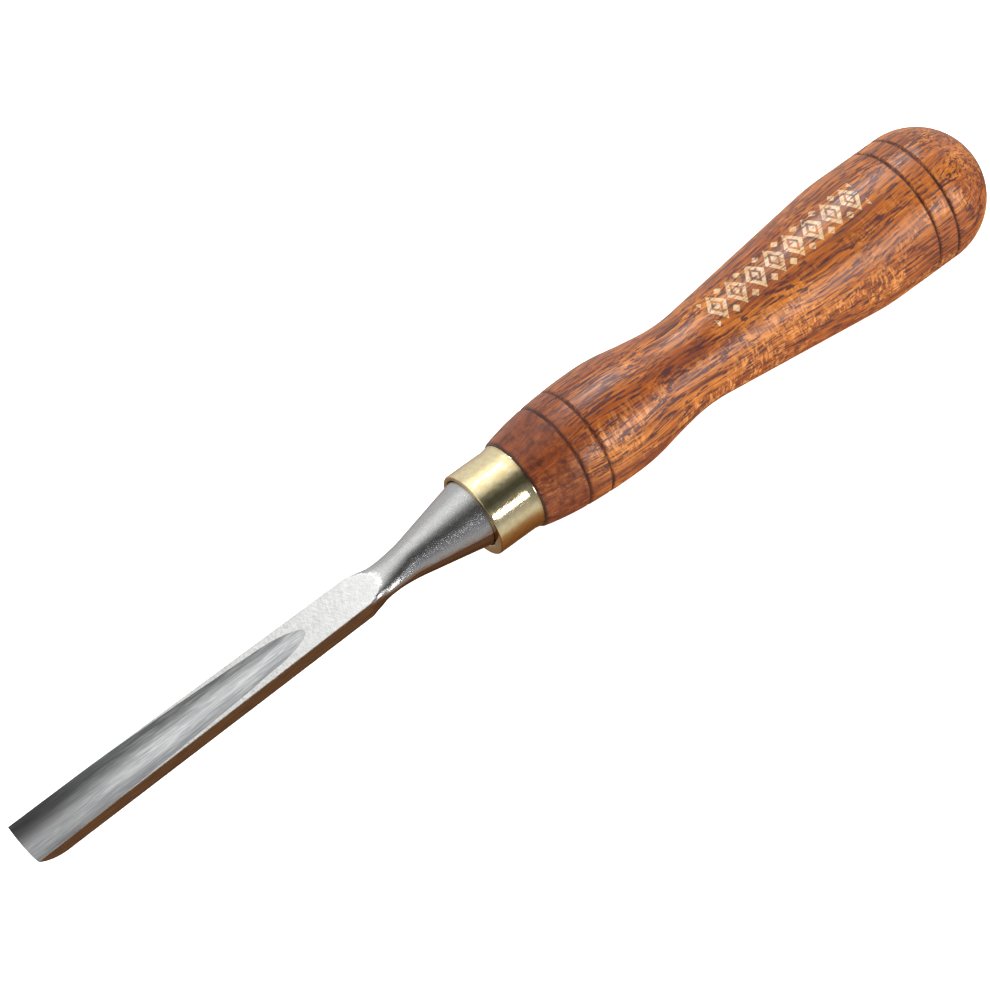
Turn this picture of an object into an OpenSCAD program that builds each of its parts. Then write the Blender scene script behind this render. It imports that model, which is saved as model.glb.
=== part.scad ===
// Carving gouge: a fluted steel blade, a brass ferrule and a turned hardwood handle.
// +X runs along the handle axis towards the cutting edge, +Z is the fluted side.
// The origin is on the handle axis, at the middle of the ferrule's length.

/* [Blade bar] */
// Length of the flat bar, from the shoulders to the cutting edge
bar_len = 82; // [74:1:90]
// Width of the bar at the cutting edge
edge_w = 10.3; // [9.6:0.1:11]
// Width of the bar at the shoulders
shoulder_w = 8.3; // [7.8:0.1:9]
// Thickness of the bar at the shoulders
shoulder_t = 4.6; // [4.2:0.1:5]
// Thickness of the bar at the cutting edge, before the flute and the bevel
edge_t = 3.5; // [3.3:0.1:3.8]

/* [Flute and bevel] */
// Radius of the flute across the blade
flute_r = 8; // [7.6:0.1:8.6]
// Distance from the shoulders to the rounded end of the flute
flute_start = 13.6; // [11:0.2:18]
// Slope of the flute's floor against the ground top, in degrees
flute_slope = 1.6; // [1.5:0.05:1.7]
// Slope where the flute runs out, in degrees
runout_slope = 4.3; // [4:0.1:5]
// Length of the run-out
runout_len = 6.2; // [5:0.1:7]
// Length of the rolled bevel along the sides of the bar
bevel_len = 6; // [5:0.1:7]
// Height of the bevel above the edge, measured across the flute's axis
bevel_rise = 2.7; // [2.4:0.1:3]
// Radius of the roll along the bevel
bevel_roll_r = 10; // [9:0.5:14]
// Thickness left at the cutting edge
edge_land = 0.1; // [0.08:0.01:0.2]

/* [Neck, bolster and tang] */
// Width of the oval neck
neck_w = 7.8; // [7:0.1:8]
// Thickness of the oval neck
neck_t = 4.7; // [4.2:0.1:5]
// Distance from the shoulders back to the front face of the ferrule
neck_len = 28.5; // [27:0.5:31]
// Distance from the shoulders back to where the bolster is a true cone
cone_start = 12; // [11:0.5:13]
// Radius of the cone where it starts
cone_front_r = 4.05; // [3.9:0.05:4.3]
// Radius of the bolster where it enters the ferrule
bolster_r = 7.5; // [7.2:0.1:7.5]
// Side of the square tang at the bolster
tang_root = 5; // [4.6:0.1:5.2]
// Side of the square tang at its end
tang_end = 2.4; // [2:0.1:2.8]
// Length of the tang
tang_len = 62; // [50:1:64]

/* [Fit of the blade in the handle] */
// Sideways set of the blade against the handle axis, in degrees
blade_yaw = 1; // [0:0.1:1.1]
// Downward set of the blade against the handle axis, in degrees
blade_droop = 0.6; // [0:0.1:0.7]

/* [Ferrule] */
// Length of the ferrule
ferrule_len = 10.8; // [10:0.2:12]
// Outer radius of the ferrule's cylinder
ferrule_r = 9.35; // [9.3:0.05:9.5]
// Radius of the flared rear rim
flare_r = 9.65; // [9.5:0.05:9.8]
// Length of the flare
flare_len = 1.9; // [1.5:0.1:2.2]
// Wall thickness of the ferrule
ferrule_wall = 0.9; // [0.8:0.05:0.9]
// Thickness of the inward lip at the front
lip_t = 1.1; // [0.8:0.1:1.4]
// Radius of the rounded front corner
ferrule_corner_r = 0.35; // [0.2:0.05:0.5]

/* [Handle] */
// Radius of the handle at its thickest, and of its domed butt
butt_r = 15; // [14.6:0.1:15.5]
// Radius of the front swell
swell_r = 12.4; // [12:0.1:12.8]
// Radius of the waist
waist_r = 9.95; // [9.8:0.05:10.2]
// Radius of the wood where it meets the ferrule
seat_r = 9.95; // [9.9:0.05:10.1]
// Width of the mouth of each turned ring
ring_w = 0.9; // [0.6:0.1:1.2]
// Depth of each turned ring
ring_depth = 0.45; // [0.3:0.05:0.7]

/* [Hidden] */
$fn = 160;

rim_x = ferrule_len / 2;
lip_back_x = rim_x - lip_t;
tenon_r = ferrule_r - ferrule_wall;
shoulder_x = rim_x + neck_len;
ferrule_opening_r = bolster_r + 0.12;
entry_half_len = 2;

// Half thickness of the bar at a distance u in front of the shoulders
bar_taper = atan((shoulder_t - edge_t) / 2 / bar_len);
function top_z(u) = shoulder_t / 2 - u * tan(bar_taper);

// Floor of the flute: first the run-out, then the long even slope
runout_end = flute_start + runout_len;
runout_depth = runout_len * tan(runout_slope);
edge_floor_z = top_z(runout_end) - runout_depth
    - (bar_len - runout_end) * tan(bar_taper + flute_slope);

// Neck sections: [distance behind the shoulders, half width, half thickness, squareness]
neck_play = 0.06;
neck_end_r = cone_front_r - 0.1;
neck_sections = [
    [-0.6, shoulder_w / 2 - neck_play, shoulder_t / 2 - neck_play, 14],
    [0.2, shoulder_w / 2 - neck_play, shoulder_t / 2 - neck_play, 14],
    [1.7, 0.98 * shoulder_w / 2, shoulder_t / 2 - neck_play, 6],
    [2.5, 0.95 * shoulder_w / 2, shoulder_t / 2, 4],
    [3.4, neck_w / 2 + 0.06, neck_t / 2, 3],
    [4.8, neck_w / 2, neck_t / 2, 2.3],
    [6.2, neck_w / 2, neck_t / 2 + 0.1, 2],
    [7.6, neck_w / 2, (neck_t / 2 + neck_end_r - 0.8) / 2, 2],
    [9, neck_w / 2 + 0.05, neck_end_r - 0.8, 2],
    [10.5, neck_end_r, neck_end_r - 0.35, 2],
    [cone_start + 0.6, neck_end_r, neck_end_r, 2]
];
neck_steps = 36;

// Drilled hole for the tang: a wide mouth, then a narrower bottom
bore_mouth_r = 4;
bore_mouth_len = 20;
bore_r = 3;
bore_len = tang_len + 2;

// Turned outline of the handle: [radius, station along X, radius of the arc to the next point].
// A positive arc swells outwards, a negative one is hollow, and 0 is a straight flank.
handle_outline = [
    [seat_r, -rim_x, 63],
    [11.6, -14.1, 120],
    [swell_r, -28.1, 45],
    [11.62, -37.1, -155],
    [waist_r + 0.32, -45.5, -38],
    [waist_r + 0.29, -55.1, 0],
    [butt_r - 0.34, -92.9, 57],
    [butt_r, -99.1, 0],
    [butt_r, -115, 0]
];
dome_x = handle_outline[8][1];
arc_step = 1.5;
fine_step = 0.3;
corner_steps = 6;
rim_land = 0.1;
flare_arc_r = 5;
dome_steps = 18;
front_rings = [-15.8, -21.3];
rear_rings = [-108.3, -113.6];

// Centre of the arc from p to q; a positive radius swells away from the axis
function arc_centre(p, q, radius) =
    let (
        chord = norm([q[0] - p[0], q[1] - p[1]]),
        out = [p[1] - q[1], q[0] - p[0]] / chord,
        mid = [p[0] + q[0], p[1] + q[1]] / 2,
        rise = sqrt(radius * radius - chord * chord / 4)
    )
    mid - sign(radius) * rise * out;

// Points at most one step apart on the arc from p to q, leaving out q; radius 0 is straight
function arc_points(p, q, radius, step) =
    radius == 0 ? [[p[0], p[1]]] :
    let (
        c = arc_centre(p, q, radius),
        side = sign(radius),
        from = atan2(side * (p[1] - c[1]), side * (p[0] - c[0])),
        to = atan2(side * (q[1] - c[1]), side * (q[0] - c[0])),
        steps = ceil(norm([q[0] - p[0], q[1] - p[1]]) / step)
    )
    [for (k = [0 : steps - 1]) let (angle = from + (to - from) * k / steps)
        c + radius * [cos(angle), sin(angle)]];

// Radius of the handle at station x, on the arc that starts at outline point i
function arc_r(i, x) =
    let (
        radius = handle_outline[i][2],
        c = arc_centre(handle_outline[i], handle_outline[i + 1], radius)
    )
    c[0] + sqrt(radius * radius - pow(x - c[1], 2));

// Rounded section of the neck, squareness 2 being an ellipse
function neck_point(a, b, squareness, angle) = [
    a * sign(cos(angle)) * pow(abs(cos(angle)), 2 / squareness),
    b * sign(sin(angle)) * pow(abs(sin(angle)), 2 / squareness)
];

// Places the blade's own axis, which is set a little off the handle axis at the shoulders
module blade_frame() {
    translate([shoulder_x, 0, 0])
        rotate([0, blade_droop, blade_yaw])
            children();
}

// Turns a profile drawn as [radius, station] about the X axis
module turned() {
    rotate([0, 90, 0])
        rotate_extrude()
            children();
}

// ---- blade ----

module bar_blank() {
    intersection() {
        translate([0, 0, -shoulder_t])
            linear_extrude(2 * shoulder_t)
                polygon([
                    [0, -shoulder_w / 2], [bar_len, -edge_w / 2],
                    [bar_len, edge_w / 2], [0, shoulder_w / 2]
                ]);
        rotate([90, 0, 0])
            translate([0, 0, -edge_w])
                linear_extrude(2 * edge_w)
                    polygon([
                        [0, -shoulder_t / 2], [bar_len, -edge_t / 2],
                        [bar_len, edge_t / 2], [0, shoulder_t / 2]
                    ]);
    }
}

// Round cutter whose floor passes through [u, 0, z] and falls towards the edge
module flute_cutter(u, z, slope) {
    translate([u, 0, z])
        rotate([0, bar_taper + slope, 0])
            translate([-bar_len, 0, flute_r])
                rotate([0, 90, 0])
                    cylinder(r = flute_r, h = 3 * bar_len, $fn = 240);
}

module flute() {
    intersection() {
        flute_cutter(flute_start, top_z(flute_start), runout_slope);
        flute_cutter(runout_end, top_z(runout_end) - runout_depth, flute_slope);
    }
}

// The bevel turns about the flute's axis, so that the edge stays square across the blade
module bevel_cutter() {
    edge = [flute_r + edge_land, 0];
    heel = [edge[0] + bevel_rise, -bevel_len];
    translate([bar_len, 0, edge_floor_z])
        rotate([0, bar_taper + flute_slope, 0])
            translate([0, 0, flute_r])
                turned()
                    difference() {
                        translate([edge[0], -bevel_len])
                            square([2 * bevel_len, bevel_len + 1]);
                        translate(arc_centre(edge, heel, bevel_roll_r))
                            circle(r = bevel_roll_r, $fn = 360);
                    }
}

// Oval neck, lofted through its sections from inside the bar to inside the cone
module neck() {
    last = len(neck_sections) - 1;
    points = [
        for (section = neck_sections)
            for (k = [0 : neck_steps - 1])
                let (p = neck_point(section[1], section[2], section[3], 360 * k / neck_steps))
                    [-section[0], p[0], p[1]]
    ];
    walls = [
        for (i = [0 : last - 1])
            for (k = [0 : neck_steps - 1])
                let (
                    here = i * neck_steps,
                    beyond = here + neck_steps,
                    next = (k + 1) % neck_steps
                )
                    each [
                        [here + k, beyond + next, beyond + k],
                        [here + k, here + next, beyond + next]
                    ]
    ];
    front = [for (k = [0 : neck_steps - 1]) neck_steps - 1 - k];
    back = [for (k = [0 : neck_steps - 1]) last * neck_steps + k];
    polyhedron(points, concat([front, back], walls));
}

// Cone bolster, drawn longer than needed and trimmed by the face of the handle
module bolster() {
    difference() {
        blade_frame()
            turned()
                polygon([
                    [0, -cone_start], [cone_front_r, -cone_start],
                    [bolster_r, -neck_len], [bolster_r, -neck_len - entry_half_len],
                    [0, -neck_len - entry_half_len]
                ]);
        translate([lip_back_x - 2 * bolster_r, -bolster_r - 2, -bolster_r - 2])
            cube([2 * bolster_r, 2 * bolster_r + 4, 2 * bolster_r + 4]);
    }
}

// One view of the square taper, drawn behind the shoulders
module tang_outline() {
    root_u = -neck_len + 0.5;
    end_u = -neck_len - lip_t - tang_len;
    polygon([
        [root_u, -tang_root / 2], [root_u, tang_root / 2],
        [end_u, tang_end / 2], [end_u, -tang_end / 2]
    ]);
}

module tang() {
    intersection() {
        translate([0, 0, -tang_root])
            linear_extrude(2 * tang_root)
                tang_outline();
        rotate([90, 0, 0])
            translate([0, 0, -tang_root])
                linear_extrude(2 * tang_root)
                    tang_outline();
    }
}

module blade() {
    color("#b9bbbd") {
        blade_frame() {
            difference() {
                bar_blank();
                flute();
                bevel_cutter();
            }
            neck();
            tang();
        }
        bolster();
    }
}

// ---- ferrule ----

// Turned outline of the cup, with a rounded front corner and a flared rear rim
module ferrule_shell() {
    flare_start = [ferrule_r, -rim_x + rim_land + flare_len];
    flare_end = [flare_r, -rim_x + rim_land];
    corner = [
        for (k = [0 : corner_steps]) let (angle = 90 - 90 * k / corner_steps)
            [ferrule_r, rim_x] + ferrule_corner_r * [cos(angle) - 1, sin(angle) - 1]
    ];
    turned()
        polygon(concat(
            [[0, rim_x]],
            corner,
            arc_points(flare_start, flare_end, -flare_arc_r, fine_step),
            [flare_end, [flare_r, -rim_x], [0, -rim_x]]
        ));
}

// Ferrule: a drawn cup whose lip closes on the bolster
module ferrule() {
    color("#c8a24a")
        difference() {
            ferrule_shell();
            translate([-rim_x - 1, 0, 0])
                rotate([0, 90, 0])
                    cylinder(r = tenon_r, h = ferrule_len - lip_t + 1);
            blade_frame()
                translate([-neck_len - 3 * lip_t, 0, 0])
                    rotate([0, 90, 0])
                        cylinder(r = ferrule_opening_r, h = 6 * lip_t);
        }
}

// ---- handle ----

module ring_notch(r, x) {
    mouth = ring_w / 2;
    polygon([[r - ring_depth, x], [r, x - mouth], [r + 1, x - mouth], [r + 1, x + mouth], [r, x + mouth]]);
}

// Outline of the turning: the tenon, the arcs and flanks of the grip, and the domed butt
module handle_profile() {
    last = len(handle_outline) - 1;
    grip = [
        for (i = [0 : last - 1])
            each arc_points(handle_outline[i], handle_outline[i + 1], handle_outline[i][2], arc_step)
    ];
    dome = [
        for (k = [0 : dome_steps]) let (angle = 90 * k / dome_steps)
            [butt_r * cos(angle), dome_x - butt_r * sin(angle)]
    ];
    difference() {
        polygon(concat([[0, lip_back_x], [tenon_r, lip_back_x], [tenon_r, -rim_x]], grip, dome));
        for (x = front_rings)
            ring_notch(arc_r(1, x), x);
        for (x = rear_rings)
            ring_notch(butt_r, x);
    }
}

// Drilled hole on the blade's axis, with the mouth at the end face of the tenon
module tang_bore(overrun) {
    translate([-neck_len - lip_t - bore_len, 0, 0])
        rotate([0, 90, 0])
            cylinder(r = bore_r, h = bore_len);
    translate([-neck_len - lip_t - bore_mouth_len, 0, 0])
        rotate([0, 90, 0])
            cylinder(r = bore_mouth_r, h = bore_mouth_len + overrun);
}

module handle() {
    color("#8c4a22")
        difference() {
            turned()
                handle_profile();
            blade_frame()
                tang_bore(1);
        }
}

// ---- adhesive ----

// Bedding that fills the drilled hole around the square tang
module tang_adhesive() {
    color("#d9c9a3")
        difference() {
            blade_frame()
                difference() {
                    tang_bore(1);
                    tang();
                }
            translate([lip_back_x, -bolster_r, -bolster_r])
                cube(2 * bolster_r);
        }
}

blade();
ferrule();
handle();
tang_adhesive();
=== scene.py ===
# %% [markdown]
# # A carving gouge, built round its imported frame
#
# The tool is a steel blade with a long hollow (the flute), a brass cup (the ferrule) and a turned
# hardwood handle. The frame already holds each piece at its true size, so this lesson only adds what
# the eye needs: crisp ground faces, a soft neck, polished brass, and wood with grain under lacquer.
# X runs along the handle towards the cutting edge, and Z is the fluted side.

import bpy
import math
import numpy as np
from mathutils import Matrix, Vector, noise


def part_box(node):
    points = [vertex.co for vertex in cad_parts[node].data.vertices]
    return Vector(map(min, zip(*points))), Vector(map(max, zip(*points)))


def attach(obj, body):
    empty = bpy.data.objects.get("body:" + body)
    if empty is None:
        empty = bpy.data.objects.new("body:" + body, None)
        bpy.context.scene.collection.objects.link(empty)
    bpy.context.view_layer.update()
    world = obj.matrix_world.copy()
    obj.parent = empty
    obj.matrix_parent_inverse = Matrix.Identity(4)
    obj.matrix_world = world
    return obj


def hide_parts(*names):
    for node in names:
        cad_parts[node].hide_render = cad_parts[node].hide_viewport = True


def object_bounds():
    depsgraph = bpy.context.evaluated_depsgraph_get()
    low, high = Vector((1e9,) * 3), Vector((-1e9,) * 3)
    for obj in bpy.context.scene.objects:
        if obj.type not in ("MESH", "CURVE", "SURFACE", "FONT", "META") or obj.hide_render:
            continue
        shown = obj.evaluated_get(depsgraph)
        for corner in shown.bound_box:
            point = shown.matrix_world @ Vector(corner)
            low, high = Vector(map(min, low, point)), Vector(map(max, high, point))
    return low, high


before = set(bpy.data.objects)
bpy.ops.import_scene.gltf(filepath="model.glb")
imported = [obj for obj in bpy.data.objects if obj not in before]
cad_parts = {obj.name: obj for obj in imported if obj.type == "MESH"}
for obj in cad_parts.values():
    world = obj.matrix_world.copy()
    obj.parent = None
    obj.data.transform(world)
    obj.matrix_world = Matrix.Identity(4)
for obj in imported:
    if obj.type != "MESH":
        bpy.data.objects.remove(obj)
cad_low, cad_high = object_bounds()
print("nodes:", sorted(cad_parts))
print("overall size in mm:", [round(1000 * (b - a), 1) for a, b in zip(cad_low, cad_high)])

# %% [markdown]
# ## Working in millimetres
#
# A toolmaker thinks in millimetres, and Blender's unit here is the metre. Every shape below is worked
# out in millimetres as plain arrays, and one helper turns the arrays into a mesh in metres. A shape
# that is a stack of closed rings of equal length makes a clean grid of four-sided faces, which shades
# evenly and is easy to divide into finishes.

# %% Turn a stack of rings into a mesh
MM = 0.001


def skin_of_rings(name, rings, finish_of_face=None, close_ends=True):
    """A closed skin over a stack of rings, each an array of the same number of points in mm."""
    rings = np.asarray(rings, float)
    stack, around, _ = rings.shape
    points = (rings.reshape(-1, 3) * MM).tolist()
    faces, finish = [], []
    for i in range(stack - 1):
        for k in range(around):
            n = (k + 1) % around
            faces.append((i * around + k, i * around + n, (i + 1) * around + n, (i + 1) * around + k))
            finish.append(0 if finish_of_face is None else int(finish_of_face(i, k)))
    if close_ends:
        faces.append(tuple(reversed(range(around))))
        faces.append(tuple((stack - 1) * around + k for k in range(around)))
        finish += [finish[0], finish[-1]]
    mesh = bpy.data.meshes.new(name)
    mesh.from_pydata(points, [], faces)
    mesh.validate()
    mesh.polygons.foreach_set("material_index", finish)
    piece = bpy.data.objects.new(name, mesh)
    bpy.context.scene.collection.objects.link(piece)
    return piece


def shade(piece, crease_degrees):
    """Smooth shading that stays crisp at creases and where one finish meets the next."""
    mesh = piece.data
    mesh.shade_smooth()
    mesh.set_sharp_from_angle(angle=math.radians(crease_degrees))
    finish_by_edge = {}
    for face in mesh.polygons:
        for key in face.edge_keys:
            finish_by_edge.setdefault(key, set()).add(face.material_index)
    for edge in mesh.edges:
        if len(finish_by_edge.get(edge.key, ())) > 1:
            edge.use_edge_sharp = True
    print(piece.name, "has", len(mesh.polygons), "faces")


# %% [markdown]
# ## The blade's own axis
#
# A hand-fitted blade seldom sits dead true. This one leans one degree sideways and droops a little
# over half a degree, pivoting at its shoulders. Everything on the blade is drawn along a straight
# axis `u`, zero at the shoulders and growing towards the edge, and then set into the handle.

# %% Set the blade in the handle
RIM_X = 5.4
NECK_LEN = 28.5
BAR_LEN = 82.0
SHOULDER_X = RIM_X + NECK_LEN
LEAN = math.radians(1.0)
DROOP = math.radians(0.6)
SET = np.array(Matrix.Rotation(LEAN, 3, "Z") @ Matrix.Rotation(DROOP, 3, "Y"))


def set_in_handle(points):
    """Blade points [u, y, z] in mm, moved to where the blade sits in the row frame."""
    return np.asarray(points, float) @ SET.T + np.array([SHOULDER_X, 0, 0])


# %% [markdown]
# ## The flat bar and its flute
#
# The bar is forged, ground flat on top, and then a round wheel cuts the flute into it. The wheel
# runs out gently towards the shoulders, which gives the flute its pointed-oval end. Near the edge the
# outside is rolled over to form the bevel. Each of these is a simple formula for height, so the
# lesson writes them as functions instead of cutting meshes with booleans: no ragged triangles.

# %% Heights of the bar
SHOULDER_HALF_W, WIDENING = 4.15, 1.0
SHOULDER_THICK, EDGE_THICK = 4.6, 3.5
FLUTE_R, FLUTE_START, RUNOUT_LEN = 8.0, 13.6, 6.2
SLOPE_MELT = 0.12  # how near each other the two slopes of the flute start to melt together
BEVEL_LEN, BEVEL_ZONE = 6.6, 9  # the bevel's length, and how far back from the edge it is looked for
BEVEL_ROLL_R, BEVEL_ROLL_BACK, BEVEL_ROLL_LIFT = 10, 6.875, 0.838  # the arc that rolls it over
TAPER = math.atan((SHOULDER_THICK - EDGE_THICK) / 2 / BAR_LEN)
FLUTE_SLOPE, RUNOUT_SLOPE = math.radians(1.6), math.radians(4.3)
RUNOUT_END = FLUTE_START + RUNOUT_LEN
RUNOUT_DEPTH = RUNOUT_LEN * math.tan(RUNOUT_SLOPE)


def half_width(u):
    return SHOULDER_HALF_W + WIDENING * u / BAR_LEN


def ground_top(u):
    return SHOULDER_THICK / 2 - u * math.tan(TAPER)


EDGE_FLOOR = ground_top(RUNOUT_END) - RUNOUT_DEPTH - (BAR_LEN - RUNOUT_END) * math.tan(TAPER + FLUTE_SLOPE)


def flute_depth(u):
    """Depth of the flute on its centre line; the two slopes melt into each other."""
    if u <= FLUTE_START:
        return 0.0
    a = (u - FLUTE_START) * math.tan(RUNOUT_SLOPE)
    b = RUNOUT_DEPTH + (u - RUNOUT_END) * math.tan(FLUTE_SLOPE)
    gap = abs(a - b)
    return min(a, b) - max(0.0, SLOPE_MELT - gap) ** 2 / (4 * SLOPE_MELT)


def top_at(u, y):
    """Height of the fluted side, and whether the point is in the flute."""
    flat = ground_top(u)
    d = flute_depth(u)
    if d <= 0:
        return flat, False
    hollow = flat - d + FLUTE_R - math.sqrt(FLUTE_R ** 2 - y * y)
    return (hollow, True) if hollow < flat else (flat, False)


def bevel_radius(s):
    """Radius of the bevel about the flute's axis, s mm from the edge (negative is behind it)."""
    return BEVEL_ROLL_LIFT + math.sqrt(max(0.0, BEVEL_ROLL_R ** 2 - (s + BEVEL_ROLL_BACK) ** 2))


def bottom_at(u, y):
    """Height of the underside, and whether the point is on the bevel."""
    flat = -ground_top(u)
    if u < BAR_LEN - BEVEL_ZONE:
        return flat, False
    a = TAPER + FLUTE_SLOPE
    z = EDGE_FLOOR
    for _ in range(6):  # each round brings the height closer to the tilted bevel
        s = min(0.0, (u - BAR_LEN) * math.cos(a) - (z - EDGE_FLOOR) * math.sin(a))
        h = -math.sqrt(max(0.0, bevel_radius(s) ** 2 - y * y))
        z = EDGE_FLOOR + (h + FLUTE_R - (u - BAR_LEN) * math.sin(a)) / math.cos(a)
    if s < -BEVEL_LEN or z <= flat:
        return flat, False
    return z, True


print("flute is", round(flute_depth(BAR_LEN), 2), "mm deep at the edge; steel there is",
      round(top_at(BAR_LEN, 0)[0] - bottom_at(BAR_LEN, 0)[0], 2), "mm thick")

# %% [markdown]
# ## One ring of the bar
#
# Each ring walks round the bar: up the right side, across the top, down the left side, and back
# underneath. The columns across the top follow the flute's lip, so the lip is a clean line of edges.
# The corners are softened by a few hundredths of a millimetre, and that softening wanders a little
# along the bar, as the burr left by a grinding wheel does. It is what makes the edges glint.

# %% Walk round the bar
FLAT_COLS, FLUTE_COLS, SIDE_ROWS, CORNER_STEPS = 6, 56, 8, 3
NARROWEST_LIP, LIP_TO_CORNER = 1.3, 0.03


def burr(u, row):
    """Softness of an arris in mm, wandering along the bar."""
    coarse = noise.noise(Vector((u * 0.9, row * 7.3, 1.7)))
    fine = noise.noise(Vector((u * 3.1, row * 5.1, 9.2)))
    return 0.06 + 0.05 * max(0.0, coarse) + 0.09 * max(0.0, fine) ** 1.5


def soft_corner(a, corner, b):
    """Points of a soft corner from a to b, without its two ends."""
    pts = []
    for i in range(1, CORNER_STEPS):
        t = i / CORNER_STEPS
        pts.append([(1 - t) ** 2 * p + 2 * t * (1 - t) * c + t * t * q for p, c, q in zip(a, corner, b)])
    return pts


def across(u, reach):
    """Columns from +reach to -reach, with a column on each lip of the flute."""
    d = flute_depth(u)
    lip = math.sqrt(max(0.0, 2 * FLUTE_R * d - d * d))
    lip = min(max(lip, NARROWEST_LIP), reach - LIP_TO_CORNER)
    right = np.linspace(reach, lip, FLAT_COLS + 1)[:-1]
    middle = np.linspace(lip, -lip, FLUTE_COLS + 1)
    left = np.linspace(-lip, -reach, FLAT_COLS + 1)[1:]
    return np.concatenate([right, middle, left])


def bar_ring(u):
    w = half_width(u)
    soft = [burr(u, row) for row in range(4)]
    side_h = top_at(u, w)[0] - bottom_at(u, w)[0]
    soft = [min(s, 0.4 * side_h) for s in soft]
    reach = w - max(soft)
    ys = across(u, reach)
    top = [[y, top_at(u, y)[0]] for y in ys]
    low = [[y, bottom_at(u, y)[0]] for y in ys[::-1]]
    z_top, z_low = top_at(u, w)[0], bottom_at(u, w)[0]
    ring = []
    right_low, right_top = [w, z_low + soft[0]], [w, z_top - soft[1]]
    left_top, left_low = [-w, z_top - soft[2]], [-w, z_low + soft[3]]
    ring += soft_corner(low[-1], [w, z_low], right_low)
    ring += [[w, z] for z in np.linspace(right_low[1], right_top[1], SIDE_ROWS)]
    ring += soft_corner(right_top, [w, z_top], top[0])
    ring += top
    ring += soft_corner(top[-1], [-w, z_top], left_top)
    ring += [[-w, z] for z in np.linspace(left_top[1], left_low[1], SIDE_ROWS)]
    ring += soft_corner(left_low, [-w, z_low], low[0])
    ring += low
    return [[u, y, z] for y, z in ring]


around = len(bar_ring(10.0))
top_from = 2 * (CORNER_STEPS - 1) + SIDE_ROWS
top_count = FLUTE_COLS + 2 * FLAT_COLS + 1
low_from = around - top_count
print("a ring of the bar has", around, "points; the top takes", top_count)

# %% [markdown]
# ## Shoulders, neck and bolster
#
# Behind the shoulders the smith drew the bar down to an oval neck and swelled it into a cone, the
# bolster, which sits on the ferrule. Squareness turns one shape into the other: a section with
# squareness 2 is an oval, and with 14 it is nearly the square-edged bar. The flat was ground after
# forging, so the grinding plane also takes a shaving off the top of the neck and leaves a rounded
# nose there. Clamping the height to the plane makes that nose without drawing it.

# %% Sections of the neck
GRIND_END = 4.6  # how far behind the shoulders the ground plane reaches
NECK_KEYS = np.array([
    # behind the shoulders, half width, half thickness, squareness
    [0.0, 4.15, 2.33, 22],
    [0.5, 4.14, 2.38, 13],
    [1.5, 4.07, 2.46, 6.4],
    [2.4, 3.98, 2.48, 4.6],
    [3.2, 3.92, 2.44, 3.5],
    [4.0, 3.89, 2.33, 2.9],
    [4.8, 3.89, 2.32, 2.45],
    [6.0, 3.90, 2.44, 2.15],
    [7.6, 3.91, 2.76, 2.0],
    [9.0, 3.94, 3.16, 2.0],
    [10.5, 4.00, 3.64, 2.0],
    [12.0, 4.10, 4.06, 2.0],
    [13.5, 4.37, 4.36, 2.0],
])


def neck_section(back):
    """Half width, half thickness and squareness, smoothly between the listed sections."""
    k = NECK_KEYS[:, 0]
    i = int(np.clip(np.searchsorted(k, back) - 1, 0, len(k) - 2))
    t = (back - k[i]) / (k[i + 1] - k[i])
    p0, p1 = NECK_KEYS[i, 1:], NECK_KEYS[i + 1, 1:]
    before, after = NECK_KEYS[max(i - 1, 0), 1:], NECK_KEYS[min(i + 2, len(k) - 1), 1:]
    kb, ka = k[max(i - 1, 0)], k[min(i + 2, len(k) - 1)]
    m0 = (p1 - before) / (k[i + 1] - kb) * (k[i + 1] - k[i])
    m1 = (after - p0) / (ka - k[i]) * (k[i + 1] - k[i])
    t2, t3 = t * t, t * t * t
    return (2 * t3 - 3 * t2 + 1) * p0 + (t3 - 2 * t2 + t) * m0 + (3 * t2 - 2 * t3) * p1 + (t3 - t2) * m1


first = np.array(bar_ring(0.0))
turn = np.arctan2(first[:, 2] / (SHOULDER_THICK / 2), first[:, 1] / SHOULDER_HALF_W)


def oval_ring(back, a, b, squareness, plane=None):
    """A ring of the neck, using the same directions as the bar's first ring."""
    reach = (np.abs(np.cos(turn)) ** squareness + np.abs(np.sin(turn)) ** squareness) ** (-1 / squareness)
    y, z = a * reach * np.cos(turn), b * reach * np.sin(turn)
    if plane is not None:
        z = np.clip(z, -plane, plane)
    return np.column_stack([np.full(around, -back), y, z])


def neck_ring(back):
    a, b, squareness = neck_section(back)
    shaving = ground_top(-back) if back < GRIND_END else None
    return oval_ring(back, a, b, squareness, shaving)


print("neck is", [round(2 * v, 2) for v in neck_section(4.8)[:2]], "mm at its thinnest")

# %% [markdown]
# ## The whole forging in one skin
#
# The tang, bolster, neck and bar are one piece of steel, so they are one skin: the rings are simply
# listed from the tang's end to the cutting edge. Stations sit closer together where the shape turns:
# in the neck, where the flute begins, and on the bevel.

# %% Stack the rings of the blade
SQUARE, OVAL = 14, 2
CONE_START, CONE_FRONT_R, CONE_BACK_R = 12, 4.05, 7.5
stations, rings = [], []


def stack(part, station, ring):
    """Put one more ring on the blade, and note which part it belongs to and its station."""
    stations.append((part, station))
    rings.append(ring)


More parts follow.
